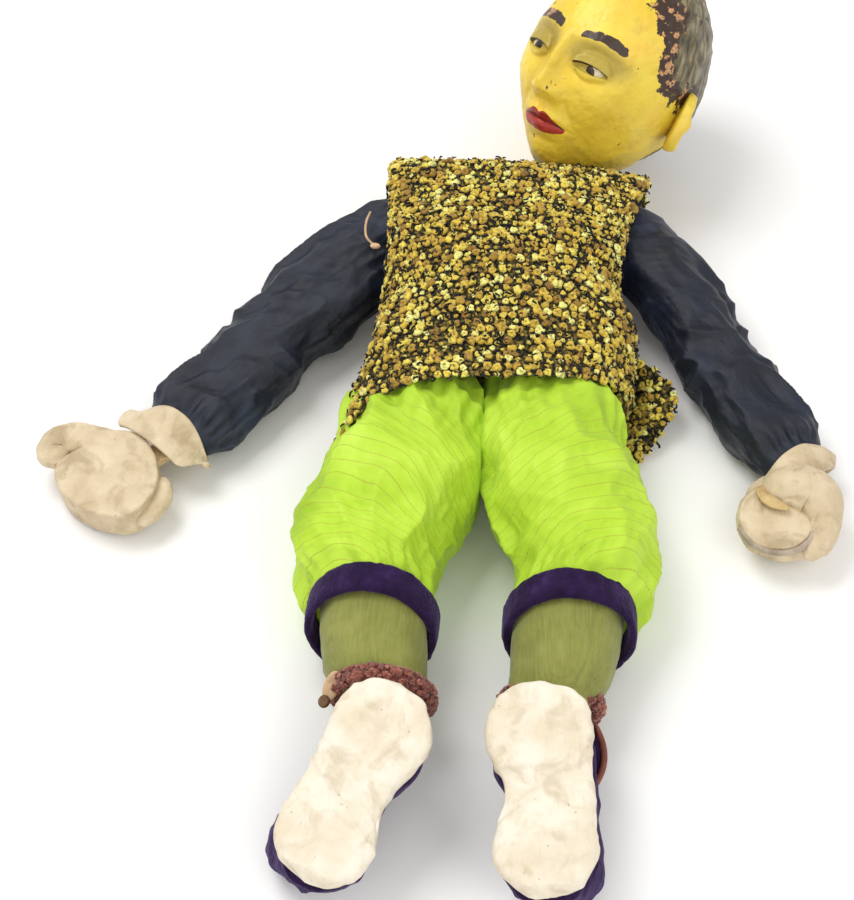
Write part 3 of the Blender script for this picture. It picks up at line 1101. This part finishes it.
def build_trousers(side, s):
    """One half of the trousers from the waist to the knee band, meeting the other half at a
    centre seam, full at the knee and stitched through in wavering lines."""
    out = 0.015 * s
    bottom = -0.1895
    z = np.linspace(0.020, bottom, 330)
    angle = circle(320)
    cx, cy, a, b = along(z, [(0.020, -0.004 * s, -0.004, 0.048, 0.037),
        (0.004, -0.005 * s, -0.004, 0.056, 0.042), (-0.018, -0.006 * s, -0.0045, 0.062, 0.0460),
        (-0.045, -0.003 * s, -0.006, 0.063, 0.0510), (-0.070, 0.004 * s, -0.007, 0.0615, 0.0540),
        (-0.110, 1.15 * out, -0.006, 0.0600, 0.0540), (-0.145, 1.70 * out, -0.003, 0.0560, 0.0520),
        (-0.166, 1.75 * out, -0.001, 0.0508, 0.0500), (-0.182, 1.25 * out, 0.001, 0.0462, 0.0455),
        (bottom, out, 0.001, 0.0425, 0.0410)])
    points = ring_points(z, cx, cy, a, b, angle, 2.15)
    n = normals(points)
    zz = z[:, None]
    outer = s * points[..., 0]  # grows from the inner side to the outer one
    seed = 81 if s > 0 else 91
    bend = 0.95 * 0.012 * np.log1p(np.exp((0.030 - outer) / 0.012))
    waver = 0.0075 * noise(points, (0.036, 0.06, 0.045), seed) + 0.0014 * noise(points, 0.013, seed)
    level = -zz - bend + waver
    quilt = level / 0.0112
    puff = np.abs(np.sin(math.pi * (quilt - 0.5)))
    stitched = smooth((-zz - 0.030) / 0.02) * smooth((zz + 0.187) / 0.01)
    knee = smooth((-zz - 0.150) / 0.030)
    waist = smooth((zz + 0.075) / 0.050)
    radial = np.sin(angle * 23 + 2.5 * np.sin(angle * 4 + s) + 30 * s * points[..., 2])
    x, y, up = np.moveaxis(points, -1, 0)
    pulled = np.stack([x - 0.45 * s * up, y, up * 0.42], -1)
    crumple = np.stack([x * 0.8, y, up - 0.35 * s * x], -1)
    fold = creases(pulled, 0.030, seed + 1, 0.0066, 0.5, 1.9) * (0.5 + waist)
    fold = fold + creases(crumple, 0.032, seed + 2, 0.0052, 0.5, 1.9)
    fold = fold + creases(crumple, 0.013, seed + 3, 0.0013)
    fold = fold + creases(pulled, 0.007, seed + 4, 0.0004)
    fold = fold + 0.0010 * radial * (1.3 * waist + 1.1 * knee) + 0.0006 * puff**0.7 * stitched
    fold = fold * (1 - 0.75 * smooth((-zz - 0.178) / 0.010))
    points = points + n * fold[..., None]
    points[..., 2] += BAND_TILT * (0.001 - points[..., 1]) * smooth((-zz - 0.120) / 0.062)
    place = FRAMES[side + "_thigh"]
    world = moved(points, place)
    seam = 0.0016 * smooth((world[..., 1] + 0.115) / 0.03) - 0.0006
    inside = s * (world[..., 0] - midline(world[..., 1])) + seam
    world[..., 0] += s * (0.0018 * np.log1p(np.exp(-inside / 0.0018)))
    world[..., 2] = np.maximum(world[..., 2], FLOOR)
    points = moved(world, place.inverted())
    pad = lambda field: np.append(np.broadcast_to(field, points.shape[:2]).ravel(), (0, 0))
    run = np.cumsum(np.linalg.norm(points - np.roll(points, 1, 1), axis=-1), axis=1)
    leg = make(side + "_trousers", *capped(points), COTTON, "lime_cotton", place, quilt=pad(quilt),
        run=pad(run[100:101]), stitched=pad(stitched))
    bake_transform(leg)
    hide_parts(side + "_trouser_leg", *(["trousers_seat"] if s < 0 else []))


def band_ring(outer, inner, z_top, z_bottom, centre, seed, cols=160, rough=0.0005):
    """A soft flat ring with rounded edges, closed all the way round its section."""
    t = circle(30)
    share, height = bent(np.cos(t), 0.55), bent(np.sin(t), 0.55)
    angle = circle(cols)
    radius = (outer + inner) / 2 + share * (outer - inner) / 2
    z = (z_top + z_bottom) / 2 - height * (z_top - z_bottom) / 2
    points = np.stack([centre[0] + radius[:, None] * np.cos(angle) * centre[2],
        centre[1] + radius[:, None] * np.sin(angle) * centre[3], z[:, None] + 0 * angle], -1)
    points[..., 2] += 0.0014 * noise(points * (1, 1, 0.1), 0.03, seed)
    drift = points - np.array([centre[0], centre[1], 0]) * (1, 1, 0)
    drift[..., 2] = 0
    drift /= np.linalg.norm(drift, axis=-1, keepdims=True)
    bumps = 0.0012 * noise(points * (1, 1, 0.3), 0.022, seed + 1)
    bumps = bumps + rough * noise(points, 0.004, seed + 2, 2)
    return points + drift * bumps[..., None]


def build_band(side, s):
    place = FRAMES[side + "_thigh"]
    points = band_ring(0.0482, 0.0415, -0.1830, -0.2060, (0.015 * s, 0.001, 1.0, 0.965), 101)
    points[..., 2] += BAND_TILT * (0.001 - points[..., 1])
    points = above_floor(points, place)
    band = make(side + "_knee_cuff", points, grid_faces(*points.shape[:2], round_rows=True), VELVET,
        "purple_velvet", place)
    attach(band, side + "_thigh")
    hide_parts(side + "_knee_band")


def build_stocking(side, s):
    z = np.linspace(0.006, -0.088, 150)
    angle = circle(160)
    cx, cy, a, b = along(z, [(0.006, 0.014 * s, 0.001, 0.0330, 0.0320),
        (-0.004, 0.014 * s, 0.001, 0.0385, 0.0372), (-0.024, 0.013 * s, 0.001, 0.0392, 0.0380),
        (-0.045, 0.010 * s, 0.002, 0.0380, 0.0368), (-0.064, 0.006 * s, 0.002, 0.0355, 0.0350),
        (-0.078, 0.001 * s, 0.001, 0.0310, 0.0305), (-0.088, 0, 0, 0.0240, 0.0240)])
    points = ring_points(z, cx, cy, a, b, angle, 2.1)
    n = normals(points)
    seed = 111 if s > 0 else 117
    stretch = points * (1, 1, 0.28)
    fold = creases(stretch, 0.018, seed, 0.0011)
    fold = fold + 0.0006 * noise(points, (0.02, 0.02, 0.008), seed + 1, 2)
    fold = fold - 0.0012 * hill(angle, 4.9 + 0.3 * s, 0.05)[None]
    sock = closed_piece(side + "_stocking", points + n * fold[..., None], JERSEY, "olive_jersey",
        FRAMES[side + "_shin"], side + "_shin")
    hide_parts(side + "_shin_stocking")


SOLE = (
    # distance along the foot, offset to the inner side, half width
    (-0.0165, 0.009, 0.0010), (-0.0130, 0.009, 0.0180), (-0.007, 0.009, 0.0270),
    (0.010, 0.010, 0.0355), (0.030, 0.010, 0.0350), (0.048, 0.007, 0.0310),
    (0.064, 0.006, 0.0305), (0.084, 0.008, 0.0345), (0.102, 0.009, 0.0340),
    (0.114, 0.009, 0.0265), (0.121, 0.009, 0.0160), (0.1245, 0.009, 0.0010),
)


def foot_rings(s, top, bottom, grow, power, tuck=0.0, rows=200, cols=150):
    """Rings along the foot between two heights, each a function of the distance along it."""
    t = np.linspace(0.03, math.pi - 0.03, rows)
    d = 0.054 - 0.0705 * np.cos(t)
    offset, half = along(d, SOLE)
    half = half * grow
    high, low = top(d), bottom(d)
    ends = np.clip(half / 0.020, 0, 1) ** 0.7
    middle, depth = (high + low) / 2, (high - low) / 2 * (0.35 + 0.65 * ends)
    angle = circle(cols)
    rings = ring_points(-d, s * offset, middle, half, depth, angle, power)
    under = smooth((middle[:, None] - rings[..., 1]) / (2 * depth[:, None]) + 0.5) * tuck
    rings[..., 0] += (s * 0.009 - rings[..., 0] - s * (0.160 if s < 0 else 0.115)) * under
    rings[..., 2] += (-0.045 - rings[..., 2]) * under
    return rings


def build_shoe(side, s):
    """A slipper lying sole up: +Y is the sole's side, the heel is at the leg."""
    place, body = FRAMES[side + "_foot"], side + "_foot"
    seed = 121 if s > 0 else 131
    sole = foot_rings(s, lambda d: 0.0430 - 0.20 * d, lambda d: 0.0254 - 0.20 * d, 1.0, 2.7)
    n = normals(sole)
    x, z = sole[..., 0], sole[..., 2]
    if s > 0:  # creases straight across this one
        across = np.stack([x * 0.35, 0 * x, z], -1)
    else:  # and slantwise on the other
        across = np.stack([(x + z) * 0.30, 0 * x, z - 0.6 * x], -1)
    fold = creases(across, 0.012, seed, 0.0013, 0.45)
    fold = fold + creases(sole, 0.009, seed + 1, 0.0006, 0.4)
    fold = fold + 0.0010 * noise(sole, 0.035, seed + 2)
    fold = fold + 0.0012 * hill(sole[..., 1] - 0.2 * z, 0.0268, 0.0016)
    fold = fold - 0.0020 * hill(z + 0.55 * s * x, -0.052, 0.0035) * smooth(n[..., 1] / 0.5)
    pad = closed_piece(side + "_sole", sole + n * fold[..., None], SOLE_KID, "cream_leather", place, body)
    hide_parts(side + "_shoe_sole")
    upper = foot_rings(s, lambda d: 0.0262 - 0.20 * d, lambda d: -0.0472 + 0.02 * d, 1.01, 2.8, 0.13)
    n = normals(upper)
    fold = (0.0016 * noise(upper, 0.022, seed + 3, 2) + creases(upper, 0.012, seed + 4, 0.0010, 0.4))
    piping = 0.0016 * hill(upper[..., 1] + 0.20 * (-upper[..., 2]), 0.0215, 0.0022)
    shoe = closed_piece(side + "_slipper", upper + n * (fold + piping)[..., None], VELVET,
        "purple_velvet", place, body)
    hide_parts(side + "_shoe_upper")
    low = 0.0010 if s < 0 else -0.0110
    points = band_ring(0.0365, 0.0290, 0.0280, 0.0185, (0, low, 1.0, 0.95), seed + 5)
    collar_place = FRAMES[side + "_collar"]
    points = above_floor(points, collar_place)
    collar = make(side + "_chenille_collar", points, grid_faces(*points.shape[:2], round_rows=True), TUFT,
        "rust_chenille", collar_place, tint=np.full(points.shape[:2], 0.25))
    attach(collar, body)
    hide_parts(side + "_shoe_collar")
    angle = rng.uniform(0, 2 * math.pi, 620)
    lie = rng.uniform(0, 2 * math.pi, 620)
    ring = 0.0042 * np.cos(lie)
    spots = np.stack([(0.0328 + ring) * np.cos(angle), low + (0.0311 + ring) * np.sin(angle),
        0.0238 + 0.0052 * np.sin(lie)], -1)
    upward = np.stack([np.cos(lie) * np.cos(angle), np.cos(lie) * np.sin(angle), np.sin(lie)], -1)
    tufts = scatter(side + "_chenille_tufts", knot_templates(), spots, upward,
        rng.uniform(0.0042, 0.0062, 620), rng.uniform(0, 1, 620), rng.normal(0, 1, (620, 3)), TUFT,
        "rust_chenille", collar_place)
    lift_pieces([tufts])
    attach(tufts, body)


def disc_button(name, place, half_x, half_z, thick, material, slot, body, hole=0.0):
    """A rounded oval disc facing the frame's -Y, dished a little in the middle."""
    angle = circle(72)
    t = np.linspace(0.02, math.pi - 0.02, 36)
    k = np.sin(t) ** 0.45
    y = -np.cos(t) * thick
    dish = hole * hill(k, 0, 0.4) * (np.cos(t) > 0)
    points = np.stack([k[:, None] * half_x * np.cos(angle), (y + dish)[:, None] + 0 * angle,
        k[:, None] * half_z * np.sin(angle)], -1)
    return closed_piece(name, points, material, slot, place, body, lift=False)


def build_small_things():
    """The toggle and its stud on the right shoe, the left one's flap, a thong on the sleeve."""
    ankle = spot("right_ankle")
    seen = (Vector((-0.10, -0.50, 0.86))).normalized()
    side_on = seen.cross(Vector((0.25, 0.97, 0))).normalized()
    for name, at, sizes, look in (("right_toggle", (-0.0355, 0.0200, 0.0135), (0.0058, 0.0112, 0.0016),
            TAN_PALE), ("right_toggle_stud", (-0.0395, 0.0100, 0.0090), (0.0042, 0.0046, 0.0024), HORN)):
        place = axes(side_on, -seen, side_on.cross(-seen), ankle + Vector(at))
        disc_button(name, place, *sizes, look, "cream_leather", "right_foot", 0.0006)
    ankle = spot("left_ankle")
    t = np.linspace(0, 1, 60)
    path = np.array([ankle + Vector((0.0235 + 0.0085 * math.sin(math.pi * v), 0.012 - 0.048 * v,
        -0.004 - 0.016 * v)) for v in t])
    width = 0.0075 * np.sqrt(np.clip(1 - (2 * t - 1) ** 4, 0.02, 1))
    flap = closed_piece("left_shoe_flap", swept(path, width, 30, 0.42, up=(0.5, -0.3, 0.8)), VELVET,
        "purple_velvet", Matrix.Identity(4), "left_foot")
    hem = path + np.array([0.0062, -0.001, 0.0016])
    closed_piece("left_flap_edge", swept(hem, 0.0019 * width / 0.0075 + 0.0004, 12, 1.0), TUFT_PLAIN,
        "rust_chenille", Matrix.Identity(4), "left_foot")
    shoulder = spot("right_shoulder_swing")
    way = [(-0.0080, 0.0060, 0.0300), (-0.0092, -0.0060, 0.0330), (-0.0086, -0.0180, 0.0345),
        (-0.0056, -0.0280, 0.0350), (0.0020, -0.0350, 0.0345)]
    fine = along(np.linspace(0, 1, 40), [(i / 4, *p) for i, p in enumerate(way)]).T
    fine = fine + np.array(shoulder)
    rings = swept(fine, 0.0010, 12, 0.8, up=(0, 0, 1))
    thong = closed_piece("shoulder_thong", rings, TAN_PALE, "cream_leather", Matrix.Identity(4),
        "right_upper_arm", lift=False)
    knot_at = axes(Vector((1, 0, 0)), Vector((0, 0, -1)), Vector((0, 1, 0)), Vector(fine[-1]))
    knot = disc_button("shoulder_thong_knot", knot_at, 0.0042, 0.0026, 0.0018, TAN_PALE, "cream_leather",
        "right_upper_arm")


# ---- assembly --------------------------------------------------------------
def build_collar():
    """The navy undershirt's neck, gathered round the neck bar."""
    place = FRAMES["neck"]
    z = np.linspace(-0.012, -0.060, 70)
    angle = circle(110)
    a = along(z, [(-0.012, 0.034), (-0.025, 0.029), (-0.040, 0.0245), (-0.052, 0.0215),
        (-0.060, 0.0180)])[0]
    points = ring_points(z, 0 * z, 0.022 / 0.070 * -z, a, 0.85 * a, angle, 2.0)
    n = normals(points)
    pleat = 0.0014 * np.sin(angle * 15 + 1.5 * np.sin(angle * 4))[None]
    points = points + n * (pleat + 0.0014 * noise(points, 0.016, 141, 2))[..., None]
    points = above_floor(points, place)
    cloth = make("undershirt_neck", points, grid_faces(*points.shape[:2]), SATIN, "navy_satin", place)
    thicken(cloth, 0.0010)
    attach(cloth, "neck")
    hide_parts("neck_collar")


def dress_frame():
    """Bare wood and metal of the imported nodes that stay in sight."""
    for name, node in frame["nodes"].items():
        if name.endswith("_pin"):
            look = BRASS if "wrist" in name else STEEL
        elif not node.hide_render:
            look = PINE
        else:
            continue
        for holder in node.material_slots:
            holder.material = look


CAMERA_AT = Vector((0.08137, -0.85871, 1.170))
CAMERA_AHEAD = Vector((-0.0747, 0.583, -0.809)).normalized()
CAMERA_ROLL = math.radians(7.3)
LENS, SENSOR = 72.2, 36  # in millimetres
WORLD_STRENGTH = 0.74


def build_studio():
    scene = bpy.context.scene
    scene.view_settings.view_transform = "Standard"
    floor = bpy.data.meshes.new("floor")
    floor.from_pydata([(-6, -6, 0), (6, -6, 0), (6, 6, 0), (-6, 6, 0)], [], [(0, 1, 2, 3)])
    paper = Paint("paper", 0.9, Specular_IOR_Level=0.2)
    paper.shader.inputs["Base Color"].default_value = (0.90, 0.89, 0.875, 1)
    floor.materials.append(paper.material)
    ground = bpy.data.objects.new("floor", floor)
    scene.collection.objects.link(ground)
    world = bpy.data.worlds.new("studio")
    world.use_nodes = True
    colour, strength = world.node_tree.nodes["Background"].inputs[:2]
    colour.default_value, strength.default_value = (1.0, 1.0, 1.0, 1), WORLD_STRENGTH
    scene.world = world
    for label, at, size, power in (("key", (-0.9, 0.5, 1.9), 1.1, 26),
            ("fill", (1.3, -0.9, 1.6), 1.6, 12), ("low", (0.0, -1.8, 0.7), 1.2, 5)):
        light = bpy.data.lights.new(label, "AREA")
        light.size, light.energy = size, power
        lamp = bpy.data.objects.new(label, light)
        lamp.location = at
        lamp.rotation_euler = (Vector((0, 0, 0.05)) - lamp.location).to_track_quat("-Z", "Y").to_euler()
        scene.collection.objects.link(lamp)
    data = bpy.data.cameras.new("camera")
    data.lens, data.sensor_width = LENS, SENSOR
    camera = bpy.data.objects.new("camera", data)
    right = Vector((math.cos(CAMERA_ROLL), math.sin(CAMERA_ROLL), 0))
    right = (right - CAMERA_AHEAD * right.dot(CAMERA_AHEAD)).normalized()
    camera.matrix_world = axes(right, right.cross(CAMERA_AHEAD), -CAMERA_AHEAD, CAMERA_AT)
    scene.collection.objects.link(camera)
    scene.camera = camera


build_head()
build_collar()
build_yoke()
build_vest()
for SIDE, S in SIGN.items():
    build_sleeve(SIDE, S)
    build_cuff(SIDE, S)
    build_hand(SIDE, S)
    build_trousers(SIDE, S)
    build_band(SIDE, S)
    build_stocking(SIDE, S)
    build_shoe(SIDE, S)
build_small_things()
dress_frame()
build_studio()
